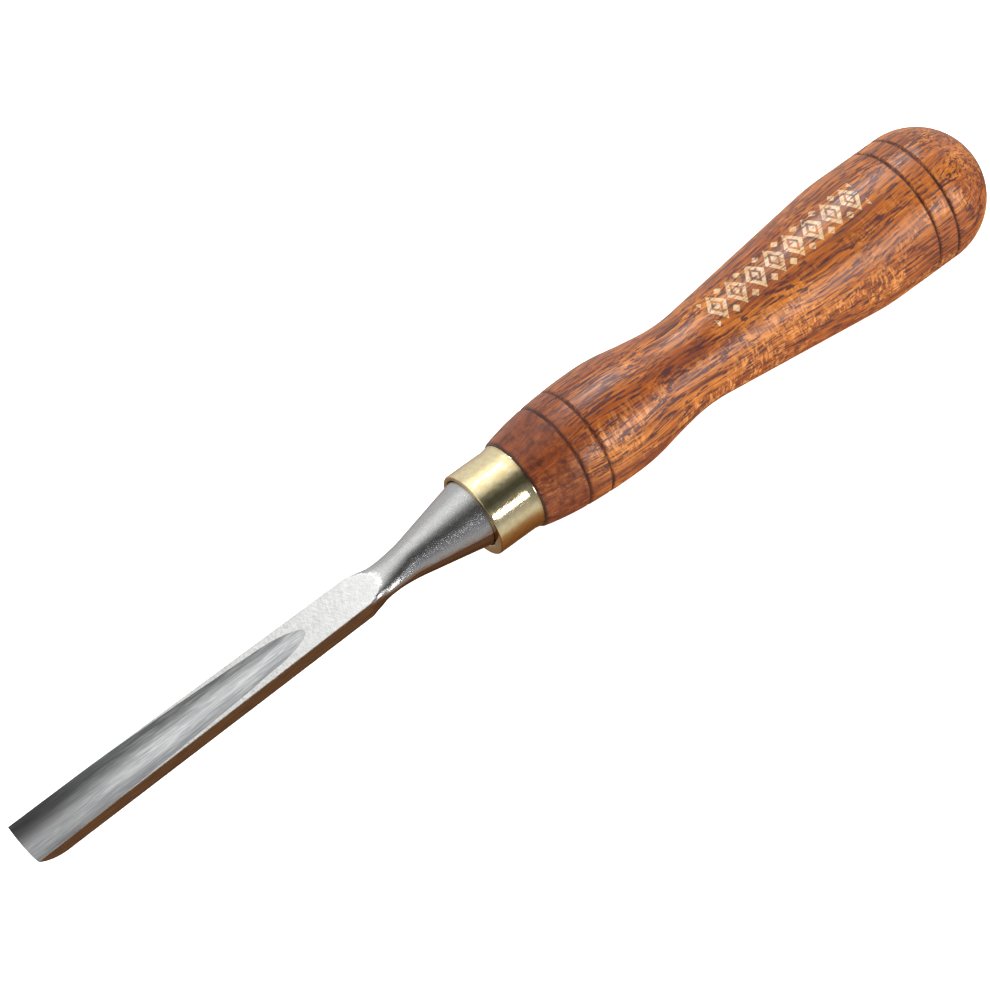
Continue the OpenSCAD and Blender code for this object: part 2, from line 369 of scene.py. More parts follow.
for back, side in ((91.6, 1.2), (60.0, 1.8), (30.6, 2.45)):
    stack("tang", -back, oval_ring(back, side, side, SQUARE))
stack("bolster", -29.45, oval_ring(29.45, 2.5, 2.5, SQUARE))
for back, r in ((29.45, 7.45), (29.3, CONE_BACK_R), (NECK_LEN, CONE_BACK_R)):
    stack("bolster", -back, oval_ring(back, r, r, OVAL))
for back in np.arange(28.0, 13.5, -0.5):
    r = CONE_FRONT_R + (back - CONE_START) / (NECK_LEN - CONE_START) * (CONE_BACK_R - CONE_FRONT_R)
    stack("bolster", -back, oval_ring(back, r, r, OVAL))
for back in np.arange(13.5, 0.09, -0.12):
    stack("neck", -back, neck_ring(back))
for u in np.concatenate([
    np.arange(0.0, 13.2, 0.5), np.arange(13.2, 21.0, 0.16), np.arange(21.0, 72.0, 0.45),
    np.arange(72.0, 81.99, 0.16), [BAR_LEN],
]):
    stack("bar", float(u), np.array(bar_ring(float(u))))
blade_rings = [set_in_handle(r) for r in rings]
print(len(rings), "rings from the tang to the edge")

# %% Say which finish each face of the blade has
GROUND, FLUTE, SIDE, BEVEL, FORGED = range(5)
PLANE_SLACK = 0.05  # two neighbours may lie this far under the plane, in sum, and still be ground


def blade_finish(i, k):
    """Which finish has the face between points k and k + 1 of rings i and i + 1."""
    part, u = stations[i]
    if part == "neck":
        middle = rings[i][k, 2] + rings[i][(k + 1) % around, 2]
        on_plane = u > -GRIND_END and middle > 2 * ground_top(u) - PLANE_SLACK
        return GROUND if on_plane and top_from <= k < top_from + top_count else FORGED
    if part != "bar":
        return FORGED
    if top_from <= k < top_from + top_count - 1:
        y = 0.5 * (rings[i][k, 1] + rings[i][k + 1, 1])
        return FLUTE if top_at(u + 0.05, y)[1] else GROUND
    if k >= low_from:
        y = 0.5 * (rings[i][k, 1] + rings[i][(k + 1) % around, 1])
        return BEVEL if bottom_at(u + 0.08, y)[1] else SIDE
    return GROUND if top_from - CORNER_STEPS < k < top_from + top_count + 1 else SIDE


def cut_open_end(rings_in):
    """The edge is a thin curved strip, closed by pairing the top's points with those underneath."""
    last = len(rings_in) - 1
    base = last * around
    top = [base + top_from + j for j in range(top_count)]
    low = [base + low_from + j for j in range(top_count)][::-1]
    faces = [(top[j], top[j + 1], low[j + 1], low[j]) for j in range(top_count - 1)]
    right = [low[0]] + [base + j for j in range(top_from)] + [top[0]]
    left = [top[-1]] + [base + j for j in range(top_from + top_count, low_from)] + [low[-1]]
    return [f[::-1] for f in faces] + [tuple(right), tuple(left)]


blade = skin_of_rings("blade_forging", blade_rings, blade_finish, close_ends=False)
skin = blade.data
old_faces = [tuple(p.vertices) for p in skin.polygons]
old_finish = [p.material_index for p in skin.polygons]
ends = [tuple(reversed(range(around)))] + cut_open_end(blade_rings)
points = [tuple(v.co) for v in skin.vertices]
skin.clear_geometry()
skin.from_pydata(points, [], old_faces + ends)
skin.polygons.foreach_set("material_index", old_finish + [FORGED] + [BEVEL] * (len(ends) - 1))
skin.validate()
shade(blade, 14)

# %% [markdown]
# ## The ferrule
#
# A ferrule is a short brass cup, drawn from sheet, that stops the wood from splitting when the tang
# is driven in. Its front turns inwards to a flat lip, and its back flares over the shoulder of the
# wood. It is a turned shape, so a profile swept round the axis makes it. The hole in the lip follows
# the blade's axis, which is why the lip looks wider on one side. Hand polishing never leaves a true
# cylinder: a few hundredths of a millimetre of wander bends the reflections, as on the real thing.

# %% Sweep the ferrule
ROUND = 256
FERRULE_R, BLADE_HOLE_R = 9.35, 7.62
BORE_R, TENON_R = 8.46, 8.44  # the inside of the cup, and the wood that fills it
ANGLES = np.linspace(0, 2 * np.pi, ROUND, endpoint=False)


def turned_ring(x, r):
    """A ring about the handle's axis."""
    return np.column_stack([np.full(ROUND, x), r * np.cos(ANGLES), r * np.sin(ANGLES)])


def blade_axis_ring(x, r):
    """A ring of the same kind, centred on the blade's axis where it crosses station x."""
    centre = set_in_handle([[x - SHOULDER_X, 0, 0]])[0]
    ring = turned_ring(x, r)
    ring[:, 1] += centre[1]
    ring[:, 2] += centre[2]
    return ring


def arc(centre, radius, start, stop, steps):
    """[station, radius] pairs along an arc, angles in degrees from the station axis."""
    a = np.radians(np.linspace(start, stop, steps))
    return [[centre[0] + radius * math.cos(t), centre[1] + radius * math.sin(t)] for t in a]


ferrule_outside = (
    arc([5.05, 9.0], 0.35, 0, 90, 9)
    + [[x, FERRULE_R] for x in np.linspace(4.6, -3.2, 24)]
    + [[x, FERRULE_R + 0.3 * ((-3.4 - x) / 1.9) ** 2] for x in np.linspace(-3.5, -5.25, 10)]
    + [[-5.38, 9.62], [-5.4, 9.5]]
)
lip_edge = [[4.3, BLADE_HOLE_R], [4.9, BLADE_HOLE_R], [5.12, 7.65], [5.3, 7.74], [5.38, 7.86], [5.4, 8.0]]


def polished(ring, amount):
    """The ring with the slight wander that hand polishing leaves."""
    ring = ring.copy()
    for p in ring:
        r = math.hypot(p[1], p[2])
        wave = noise.noise(Vector((p[0] * 0.35, p[1] * 0.32, p[2] * 0.32)))
        wave += 0.4 * noise.noise(Vector((p[0] * 0.9, p[1] * 1.1, p[2] * 1.1 + 5)))
        p[1:] *= (r + amount * wave) / r
    return ring


ferrule_rings = [blade_axis_ring(x, r) for x, r in lip_edge]
ferrule_rings += [polished(turned_ring(x, r), 0.02) for x, r in ferrule_outside]
ferrule_rings += [turned_ring(x, r) for x, r in ((-5.4, 8.55), (-5.3, BORE_R), (4.2, BORE_R), (4.3, 8.36))]
ferrule_rings += [blade_axis_ring(4.3, BLADE_HOLE_R)]
ferrule = skin_of_rings("ferrule_cup", ferrule_rings, close_ends=False)
shade(ferrule, 25)
print("ferrule is", round(2 * max(r for _, r in ferrule_outside), 2), "mm across at its flare")

# %% [markdown]
# ## The handle
#
# The handle is turned between centres: a swell for the front fingers, a waist, and a bulb that ends
# in a dome for the palm. Its outline is a chain of arcs that meet without kinks. Two pairs of rings
# are cut with the point of a skew chisel and burnt dark. In the outline below, a negative radius is a
# hollow arc and a radius of 0 is a straight flank.

# %% The outline of the handle
BULB_R, DOME_X = 15.0, -115.0
OUTLINE = [
    # radius, station, radius of the arc to the next pair
    (9.95, -5.4, 63), (11.6, -14.1, 120), (12.4, -28.1, 45), (11.62, -37.1, -155),
    (10.27, -45.5, -38), (10.24, -55.1, 0), (14.66, -92.9, 57), (BULB_R, -99.1, 0), (BULB_R, DOME_X, 0),
]


def arc_between(p, q, radius, step):
    """[radius, station] points from p towards q along the arc that joins them."""
    p, q = np.array(p, float), np.array(q, float)
    chord = np.linalg.norm(q - p)
    count = max(1, math.ceil(chord / step))
    if radius == 0:
        return [p + (q - p) * k / count for k in range(count)]
    out = np.array([p[1] - q[1], q[0] - p[0]]) / chord
    centre = (p + q) / 2 - np.sign(radius) * math.sqrt(radius ** 2 - chord ** 2 / 4) * out
    side = np.sign(radius)
    a = math.atan2(side * (p[1] - centre[1]), side * (p[0] - centre[0]))
    b = math.atan2(side * (q[1] - centre[1]), side * (q[0] - centre[0]))
    turns = np.linspace(a, b, count + 1)[:-1]
    return [centre + radius * np.array([math.cos(t), math.sin(t)]) for t in turns]


grip = []
for here, beyond in zip(OUTLINE[:-1], OUTLINE[1:]):
    grip += arc_between(here[:2], beyond[:2], here[2], 0.7)
grip = np.array(grip + [np.array([BULB_R, DOME_X])])
print("the grip's outline has", len(grip), "points; the waist is",
      round(2 * grip[:, 0][(grip[:, 1] < -40) & (grip[:, 1] > -60)].min(), 1), "mm across")

# %% Cut the rings and close the dome
RING_STATIONS = (-15.8, -21.3, -108.3, -113.6)
RING_HALF, RING_DEPTH = 0.48, 0.42
RING_OFFSETS = [0.0] + [way * d for d in (0.1, 0.25, 0.4, 0.48, 0.56, 0.7) for way in (1, -1)]
DRILLED_TO, DRILLED_R = -60.0, 3.05  # the hole for the tang
WIDE_HOLE_TO, WIDE_HOLE_R = -15.8, 4.05  # its wider mouth


def radius_at(x):
    return float(np.interp(-x, -grip[:, 1], grip[:, 0]))


grip_stations = sorted(
    [x for x in grip[:, 1] if all(abs(x - s) > 0.75 for s in RING_STATIONS)]
    + [s + d for s in RING_STATIONS for d in RING_OFFSETS],
    reverse=True,
)


def ring_cut(x, angle):
    """How deep the turned rings go at this point; the tool chatters a little round the handle."""
    cut = 0.0
    for n, s in enumerate(RING_STATIONS):
        wander = 0.05 * noise.noise(Vector((math.cos(angle) * 1.6, math.sin(angle) * 1.6, 3.0 * n)))
        chatter = 1 + 0.25 * noise.noise(Vector((math.cos(angle) * 6, math.sin(angle) * 6, 3.0 * n + 50)))
        t = abs(x - s - wander) / RING_HALF
        if t < 1.25:
            cut = max(cut, RING_DEPTH * chatter * (0.5 + 0.5 * math.cos(math.pi * min(1.0, t / 1.12))) ** 0.8)
    return cut


def grip_ring(x):
    r = radius_at(x)
    near = any(abs(x - s) < 0.8 for s in RING_STATIONS)
    radii = np.array([r - ring_cut(x, a) for a in ANGLES]) if near else np.full(ROUND, r)
    return np.column_stack([np.full(ROUND, x), radii * np.cos(ANGLES), radii * np.sin(ANGLES)])


handle_rings = [blade_axis_ring(x, r) for x, r in (
    (DRILLED_TO, 0.4), (DRILLED_TO, DRILLED_R), (WIDE_HOLE_TO, DRILLED_R),
    (WIDE_HOLE_TO, WIDE_HOLE_R), (4.0, WIDE_HOLE_R), (4.28, 4.2),
)]
handle_rings += [turned_ring(x, r) for x, r in (
    (4.28, 8.2), (4.1, TENON_R), (-RIM_X, TENON_R), (-5.41, 8.6), (-5.42, 9.55), (-5.5, 9.76),
)]
handle_rings += [grip_ring(x) for x in grip_stations if x < -5.62]
for t in np.radians(np.linspace(2, 88, 44)):
    handle_rings.append(turned_ring(DOME_X - BULB_R * math.sin(t), BULB_R * math.cos(t)))
handle = skin_of_rings("handle_turning", handle_rings)
shade(handle, 30)
print("handle is", round(1000 * handle.dimensions.x, 1), "mm long with its tenon")

# %% [markdown]
# ## Mixing a finish
#
# A finish is a small chain of nodes: patterns measured in millimetres on the object itself, turned
# into colour, roughness and a little relief. Short helpers keep the chains readable: one starts a
# material, one adds a node and wires what feeds it in one line, and the rest name what a painter or a
# polisher would ask for, such as a grain, a level, a tint or a relief.

# %% Helpers for finishes
def new_finish(name):
    """A fresh material: the material, its node tree and its shader."""
    material = bpy.data.materials.new(name)
    material.use_nodes = True
    print("mixing", name)
    return material, material.node_tree, material.node_tree.nodes["Principled BSDF"]


def add(tree, kind, feeds=None, **setup):
    """Add a node, set its options, and feed its inputs with numbers or with other nodes' outputs."""
    made = tree.nodes.new("ShaderNode" + kind)
    for key, value in setup.items():
        setattr(made, key, value)
    for key, value in (feeds or {}).items():
        if isinstance(value, bpy.types.NodeSocket):
            tree.links.new(value, made.inputs[key])
        else:
            made.inputs[key].default_value = value
    return made


def in_mm(tree):
    """Where a point is on the object, in mm along X, Y and Z."""
    place = add(tree, "TexCoord")
    feeds = {0: place.outputs["Object"], "Scale": 1000.0}
    return add(tree, "VectorMath", feeds, operation="SCALE").outputs[0]


def grain(tree, where, stretch, detail=3.0, rough=0.5, warp=0.0):
    """Soft random pattern, from 0 to 1; stretch is how often it changes per mm along X, Y and Z."""
    spot = add(tree, "Mapping", {"Vector": where, "Scale": stretch})
    return add(tree, "TexNoise", {
        "Vector": spot.outputs[0], "Scale": 1.0, "Detail": detail, "Roughness": rough, "Distortion": warp,
    }).outputs["Fac"]


def level(tree, value, low, high, to_low=0.0, to_high=1.0):
    """Spread the part of a pattern between low and high over a new range."""
    return add(tree, "MapRange", {
        "Value": value, "From Min": low, "From Max": high, "To Min": to_low, "To Max": to_high,
    }, interpolation_type="SMOOTHSTEP").outputs[0]


def calc(tree, a, b, operation="ADD", c=None):
    """One sum worked out on values or patterns: an addition, unless another operation is named."""
    feeds = {0: a, 1: b}
    if c is not None:
        feeds[2] = c
    return add(tree, "Math", feeds, operation=operation).outputs[0]


def tint(tree, share, a, b):
    """Colour a where share is 0, colour b where it is 1."""
    mix = add(tree, "Mix", data_type="RGBA", blend_type="MIX")
    for key, value in ((0, share), (6, a), (7, b)):
        if isinstance(value, bpy.types.NodeSocket):
            tree.links.new(value, mix.inputs[key])
        else:
            mix.inputs[key].default_value = value if key == 0 else (*value, 1.0)
    return mix.outputs[2]


def relief(tree, height, depth_mm, strength=1.0, under=None):
    """Turn a pattern into relief of a given depth."""
    feeds = {"Height": height, "Distance": depth_mm * MM, "Strength": strength}
    if under is not None:
        feeds["Normal"] = under
    return add(tree, "Bump", feeds).outputs[0]


print("helpers for finishes are ready")

# %% [markdown]
# ## Steel, ground and honed
#
# Every face of the blade was worked differently, and each working leaves its own marks. The top was
# held across a belt, so its scratches cross the blade. The flute was honed lengthways. The sides were
# left as rolled: satin steel with a faint straw tint, smooth enough to mirror the warm surround. The
# neck was shot-blasted, which leaves fine sparkle; its sides and underside are painted a darker brown,
# a painted shade and reflection of the warm surround below. The marks are stretched noise: long one way
# and short the other.

# %% The ground flat
ground_steel, t, shader = new_finish("ground_flat_steel")
spot = in_mm(t)
leaning = add(t, "Mapping", {"Vector": spot, "Rotation": (0, 0, 0.42)}).outputs[0]
other_way = add(t, "Mapping", {"Vector": spot, "Rotation": (0, 0, -0.5)}).outputs[0]
scratch = grain(t, leaning, (9.0, 0.55, 3.0), 4.0, 0.6)
crossing = grain(t, other_way, (7.0, 0.7, 3.0), 3.0, 0.6)
cloud = grain(t, spot, (0.35, 0.5, 0.5), 3.0)
both = calc(t, scratch, crossing)
colour = tint(t, level(t, both, 0.75, 1.25), (0.28, 0.28, 0.275), (0.55, 0.55, 0.54))
colour = tint(t, level(t, cloud, 0.35, 0.7, 0.0, 0.3), colour, (0.36, 0.37, 0.38))
t.links.new(colour, shader.inputs["Base Color"])
t.links.new(level(t, both, 0.7, 1.3, 0.34, 0.50), shader.inputs["Roughness"])
t.links.new(relief(t, both, 0.03, 0.6), shader.inputs["Normal"])
shader.inputs["Metallic"].default_value = 1.0

# %% The honed flute
flute_steel, t, shader = new_finish("honed_flute_steel")
spot = in_mm(t)
long_scratch = grain(t, spot, (0.10, 4.5, 4.5), 5.0, 0.62)
streak = grain(t, spot, (0.06, 1.7, 1.7), 4.0, 0.62)
haze = grain(t, spot, (0.09, 0.22, 0.22), 2.0)
station, sideways = add(t, "SeparateXYZ", {0: spot}).outputs[:2]
near_edge = level(t, station, 84.0, 113.0)
near_left = level(t, sideways, 5.2, -2.0, 0.15, 0.94)
colour = tint(t, level(t, long_scratch, 0.35, 0.68), (0.33, 0.34, 0.35), (0.56, 0.56, 0.56))
colour = tint(t, level(t, streak, 0.48, 0.60, 0.0, 0.62), colour, (0.27, 0.28, 0.29))
colour = tint(t, level(t, haze, 0.45, 0.75, 0.0, 0.35), colour, (0.58, 0.58, 0.575))
# Painted reflection: towards the edge the flute's left wall is painted darker, standing in for the dark
# surround it mirrors.
painted_dark_reflection = calc(t, near_edge, near_left, "MULTIPLY")
colour = tint(t, painted_dark_reflection, colour, (0.15, 0.15, 0.155))
t.links.new(colour, shader.inputs["Base Color"])
t.links.new(level(t, long_scratch, 0.3, 0.7, 0.36, 0.50), shader.inputs["Roughness"])
t.links.new(relief(t, long_scratch, 0.015, 0.45), shader.inputs["Normal"])
shader.inputs["Metallic"].default_value = 1.0

# %% The satin sides
side_steel, t, shader = new_finish("satin_side_steel")
spot = in_mm(t)
rolled = grain(t, spot, (0.22, 3.0, 3.0), 4.0, 0.6)
patch = grain(t, spot, (0.3, 0.9, 0.9), 4.0, 0.6)
speck = grain(t, spot, (2.2, 2.6, 2.6), 3.0, 0.6)
colour = tint(t, level(t, rolled, 0.3, 0.7), (0.35, 0.325, 0.30), (0.52, 0.50, 0.47))
colour = tint(t, level(t, patch, 0.45, 0.72, 0.0, 0.5), colour, (0.24, 0.185, 0.15))
colour = tint(t, level(t, speck, 0.62, 0.74, 0.0, 0.55), colour, (0.42, 0.34, 0.28))
crest = set_in_handle([[u, 0.0, ground_top(u)] for u in (0.0, 100.0)])
crest_slope = (crest[1][2] - crest[0][2]) / (crest[1][0] - crest[0][0])
station, _, depth = add(t, "SeparateXYZ", {0: spot}).outputs[:3]
crest_line = calc(t, station, crest_slope, "MULTIPLY_ADD", crest[0][2] - crest_slope * crest[0][0])
below = calc(t, crest_line, depth, "SUBTRACT")
nick = level(t, calc(t, below, level(t, speck, 0.35, 0.65, 0.25, -0.35)), 0.24, 0.10)
colour = tint(t, nick, colour, (0.66, 0.64, 0.60))
t.links.new(colour, shader.inputs["Base Color"])
t.links.new(level(t, patch, 0.3, 0.7, 0.17, 0.29), shader.inputs["Roughness"])
t.links.new(relief(t, calc(t, rolled, speck), 0.03, 0.5), shader.inputs["Normal"])
shader.inputs["Metallic"].default_value = 1.0

# %% The bevel and the underside near it
bevel_steel, t, shader = new_finish("rolled_bevel_steel")
spot = in_mm(t)
ground_across = grain(t, spot, (6.0, 0.5, 1.2), 4.0, 0.6)
bloom = grain(t, spot, (0.4, 0.5, 0.5), 3.0)
colour = tint(t, level(t, ground_across, 0.3, 0.7), (0.36, 0.28, 0.21), (0.60, 0.53, 0.45))
colour = tint(t, level(t, bloom, 0.4, 0.7, 0.0, 0.5), colour, (0.33, 0.24, 0.17))
t.links.new(colour, shader.inputs["Base Color"])
t.links.new(level(t, ground_across, 0.3, 0.7, 0.24, 0.4), shader.inputs["Roughness"])
t.links.new(relief(t, ground_across, 0.012, 0.45), shader.inputs["Normal"])
shader.inputs["Metallic"].default_value = 1.0

# %% The blasted neck and bolster
forged_steel, t, shader = new_finish("blasted_neck_steel")
spot = in_mm(t)
shot = grain(t, spot, (4.5, 6.0, 6.0), 3.0, 0.65)
fine_shot = grain(t, spot, (9.0, 11.0, 11.0), 2.0, 0.6)
drawn = grain(t, spot, (0.28, 2.2, 2.2), 3.0, 0.55)
colour = tint(t, level(t, shot, 0.3, 0.7), (0.40, 0.40, 0.405), (0.60, 0.60, 0.60))
colour = tint(t, level(t, drawn, 0.35, 0.7, 0.0, 0.35), colour, (0.40, 0.395, 0.39))
# Painted shade and warm reflection: faces of the neck that do not turn upwards are painted a darker brown.
from_axis = add(t, "VectorMath", {0: spot, 1: (0.0, 1.0, 1.0)}, operation="MULTIPLY").outputs[0]
outward = add(t, "VectorMath", {0: from_axis}, operation="NORMALIZE").outputs[0]
upward = add(t, "SeparateXYZ", {0: outward}).outputs[2]
upward = calc(t, upward, level(t, drawn, 0.3, 0.7, -0.10, 0.10))
colour = tint(t, level(t, upward, 0.44, 0.14), colour, (0.34, 0.27, 0.23))
t.links.new(colour, shader.inputs["Base Color"])
t.links.new(level(t, drawn, 0.3, 0.7, 0.19, 0.29), shader.inputs["Roughness"])
bumps = calc(t, shot, calc(t, fine_shot, 0.6, "MULTIPLY"))
t.links.new(relief(t, bumps, 0.042, 0.65), shader.inputs["Normal"])
shader.inputs["Metallic"].default_value = 1.0

for finish in (ground_steel, flute_steel, side_steel, bevel_steel, forged_steel):
    blade.data.materials.append(finish)
print("blade finishes:", [m.name for m in blade.data.materials])

# %% [markdown]
# ## Brass
#
# Brass is a mirror with a yellow tint, so most of its look is what it reflects. The nodes only add
# what breaks up the mirror: turning lines round the cup, a faint orange-peel from buffing, and a
# brown tarnish that settles along the lip and the rear rim where the cloth doesn't reach.

# %% Polished brass
brass, t, shader = new_finish("polished_brass")
spot = in_mm(t)
station = add(t, "SeparateXYZ", {0: spot}).outputs[0]
turning = grain(t, spot, (7.0, 0.12, 0.12), 3.0, 0.6)
peel = grain(t, spot, (0.9, 0.8, 0.8), 3.0, 0.5)
cloth = grain(t, spot, (0.6, 3.2, 3.2), 4.0, 0.6)
colour = tint(t, level(t, peel, 0.3, 0.7), (0.83, 0.68, 0.37), (0.90, 0.79, 0.51))
at_lip = level(t, station, 5.1, 5.5)
at_rim = level(t, station, -4.6, -5.4)
settled = calc(t, calc(t, at_lip, at_rim, "MAXIMUM"), level(t, cloth, 0.3, 0.65), "MULTIPLY")
colour = tint(t, calc(t, settled, 0.75, "MULTIPLY"), colour, (0.40, 0.23, 0.09))
t.links.new(colour, shader.inputs["Base Color"])
t.links.new(level(t, cloth, 0.3, 0.72, 0.07, 0.19), shader.inputs["Roughness"])
marks = relief(t, turning, 0.004, 0.35)
t.links.new(relief(t, peel, 0.05, 0.35, marks), shader.inputs["Normal"])
shader.inputs["Metallic"].default_value = 1.0
ferrule.data.materials.append(brass)
print("ferrule finish:", brass.name)

# %% [markdown]
# ## Hardwood under lacquer
#
# The wood is a red-brown tropical kind with open pores. Its fibres run along the handle, so every
# pattern is stretched along X. Because the patterns fill space, the dome shows the pores end-on as
# dots, just as cut wood does. From broad to fine: growth bands round a pith that lies below the
# handle, long dark lines, short dashes where pores are cut open, and fine fibre. On the side where
# the rays lie flat, a ripple of gold crosses the grain.

# %% Where the wood is, with gently wandering fibres
wood, t, shader = new_finish("lacquered_hardwood")
spot = in_mm(t)
wander = add(t, "TexNoise", {
    "Vector": add(t, "Mapping", {"Vector": spot, "Scale": (0.022, 0.05, 0.05)}).outputs[0],
    "Scale": 1.0, "Detail": 2.0,
}).outputs["Color"]
centred = add(t, "VectorMath", {0: wander, 1: (0.5, 0.5, 0.5)}, operation="SUBTRACT").outputs[0]
shift = add(t, "VectorMath", {0: centred, 1: (0.0, 7.0, 7.0)}, operation="MULTIPLY").outputs[0]
fibre = add(t, "VectorMath", {0: spot, 1: shift}, operation="ADD").outputs[0]
along, wide, high = add(t, "SeparateXYZ", {0: spot}).outputs[:3]

# %% Growth bands and long lines
PITH, BAND_RATE = (0.0, 16.0, -52.0), 1.55
from_pith = add(t, "VectorMath", {0: fibre, 1: PITH}, operation="SUBTRACT").outputs[0]
flat_pith = add(t, "VectorMath", {0: from_pith, 1: (0.0, 1.0, 1.0)}, operation="MULTIPLY").outputs[0]
distance = add(t, "VectorMath", {0: flat_pith}, operation="LENGTH").outputs["Value"]
growth = calc(t, calc(t, distance, BAND_RATE, "MULTIPLY"), 0.0, "SINE")
broad = grain(t, fibre, (0.016, 0.13, 0.13), 3.0, 0.5)
lines = grain(t, fibre, (0.028, 1.15, 1.15), 4.0, 0.58)
fine = grain(t, fibre, (0.10, 3.6, 3.6), 3.0, 0.6)
colour = tint(t, level(t, broad, 0.34, 0.68), (0.34, 0.078, 0.009), (0.70, 0.228, 0.027))
colour = tint(t, level(t, growth, -0.2, 1.0, 0.0, 0.28), colour, (0.27, 0.075, 0.026))
colour = tint(t, level(t, lines, 0.50, 0.62, 0.0, 0.80), colour, (0.15, 0.040, 0.020))
colour = tint(t, level(t, lines, 0.47, 0.30, 0.0, 0.45), colour, (0.74, 0.29, 0.085))
colour = tint(t, level(t, fine, 0.36, 0.66, 0.36, 0.0), colour, (0.20, 0.052, 0.020))
streaks = level(t, grain(t, fibre, (0.050, 2.1, 2.1), 3.0, 0.5), 0.53, 0.58)
streaked = level(t, grain(t, fibre, (0.022, 0.17, 0.17), 2.0), 0.38, 0.54, 0.25, 0.95)
colour = tint(t, calc(t, streaks, streaked, "MULTIPLY"), colour, (0.11, 0.028, 0.016))
print("a growth band every", round(2 * math.pi / BAND_RATE, 1), "mm")

# %% Gold ripple where the rays lie flat
RAY_SIDE = (0.0, 0.97, 0.12)
facing = add(t, "VectorMath", {0: spot, 1: RAY_SIDE}, operation="DOT_PRODUCT").outputs["Value"]
ray_zone = level(t, facing, 5.5, 9.5)
ripple = grain(t, fibre, (1.0, 0.34, 0.34), 2.0, 0.5, 1.1)
fleck = grain(t, fibre, (1.7, 0.5, 0.42), 3.0, 0.55, 0.5)
patchy = level(t, grain(t, fibre, (0.045, 0.15, 0.15), 2.0), 0.40, 0.62)
gold = calc(t, calc(t, level(t, ripple, 0.46, 0.64), ray_zone, "MULTIPLY"), patchy, "MULTIPLY")
colour = tint(t, calc(t, gold, 0.70, "MULTIPLY"), colour, (0.80, 0.31, 0.075))
flecked = calc(t, calc(t, level(t, fleck, 0.52, 0.66), ray_zone, "MULTIPLY"), patchy, "MULTIPLY")
colour = tint(t, calc(t, flecked, 0.74, "MULTIPLY"), colour, (0.17, 0.052, 0.022))
print("the ripple lies on the side towards", RAY_SIDE)

# %% Open pores
PORE_STRETCH = (0.23, 1.9, 1.9)
dashes = grain(t, fibre, PORE_STRETCH, 3.0, 0.55)
crowd = level(t, grain(t, fibre, (0.03, 0.16, 0.16), 2.0), 0.30, 0.70, 0.595, 0.52)
pore = level(t, calc(t, dashes, crowd, "SUBTRACT"), 0.0, 0.032)
hair = level(t, grain(t, fibre, (0.12, 4.2, 4.2), 2.0), 0.62, 0.70)
colour = tint(t, calc(t, pore, 0.9, "MULTIPLY"), colour, (0.070, 0.024, 0.024))
colour = tint(t, calc(t, hair, 0.5, "MULTIPLY"), colour, (0.12, 0.036, 0.022))
print("an open pore is about", round(1 / PORE_STRETCH[0], 1), "mm long")

# %% [markdown]
# ## Darker front, burnt rings and a foil border
#
# The front end is darker and mottled. The rings were burnt with a wire held against the spinning wood.
# On top of the handle a maker's foil was stamped; here it is a plain border of lozenges, worn through
# along the grain.

# %% Front end and burnt rings
mottle = grain(t, spot, (0.5, 0.55, 0.55), 4.0, 0.6)
front = calc(t, level(t, along, -22.5, -13.0), level(t, mottle, 0.25, 0.75, 0.6, 1.0), "MULTIPLY")
front_dark_tone = tint(t, level(t, mottle, 0.4, 0.7), (0.19, 0.042, 0.012), (0.075, 0.018, 0.009))
colour = tint(t, front, colour, front_dark_tone)
burnt = None
for at in RING_STATIONS:
    off = calc(t, calc(t, along, -at), 0.0, "ABSOLUTE")
    ragged = calc(t, off, level(t, mottle, 0.3, 0.7, -0.1, 0.12))
    dark = level(t, ragged, 0.46, 0.14)
    burnt = dark if burnt is None else calc(t, burnt, dark, "MAXIMUM")
uneven = level(t, grain(t, spot, (0.12, 0.22, 0.22), 3.0), 0.32, 0.58, 0.62, 0.95)
colour = tint(t, calc(t, burnt, uneven, "MULTIPLY"), colour, (0.050, 0.018, 0.014))
print("burnt rings at x =", RING_STATIONS, "mm")

# %% Foil border of lozenges
PERIOD, FOIL_FROM, FOIL_TO, FOIL_FADE = 5.2, -57.4, -99.0, 0.1


def lozenge(centre_shift, centre_y, half_long, half_wide):
    """0 in the middle of each repeated lozenge, 1 on its outline."""
    turns = calc(t, calc(t, along, centre_shift), PERIOD, "DIVIDE")
    around_middle = calc(t, calc(t, turns, 0.0, "FRACT"), -0.5)
    dx = calc(t, calc(t, around_middle, 0.0, "ABSOLUTE"), PERIOD / half_long, "MULTIPLY")
    dy = calc(t, calc(t, calc(t, wide, 0.0, "ABSOLUTE"), -centre_y), 0.0, "ABSOLUTE")
    return calc(t, dx, calc(t, dy, 1 / half_wide, "MULTIPLY"))


big = lozenge(-FOIL_TO, 0.0, 2.35, 3.7)
outer = level(t, big, 1.02, 0.98)
hollow = calc(t, level(t, big, 0.60, 0.57), level(t, big, 0.34, 0.31), "SUBTRACT")
solid = calc(t, outer, hollow, "SUBTRACT")
small = level(t, lozenge(-FOIL_TO + PERIOD / 2, 3.0, 0.95, 0.95), 1.04, 0.96)
shape = calc(t, solid, small, "MAXIMUM")
past_start = level(t, along, FOIL_TO - FOIL_FADE, FOIL_TO + FOIL_FADE)
before_end = level(t, along, FOIL_FROM + FOIL_FADE, FOIL_FROM - FOIL_FADE)
within = calc(t, calc(t, past_start, before_end, "MULTIPLY"), level(t, high, 3.0, 3.4), "MULTIPLY")
worn = calc(t, grain(t, spot, (0.35, 3.4, 3.4), 4.0, 0.6), level(t, pore, 0.2, 0.9, 0.0, 0.12))
kept = level(t, worn, 0.62, 0.54)
foil = calc(t, calc(t, shape, within, "MULTIPLY"), kept, "MULTIPLY")
foil_tone = tint(t, level(t, fine, 0.3, 0.7), (0.56, 0.36, 0.17), (0.80, 0.60, 0.36))
colour = tint(t, calc(t, foil, 0.88, "MULTIPLY"), colour, foil_tone)
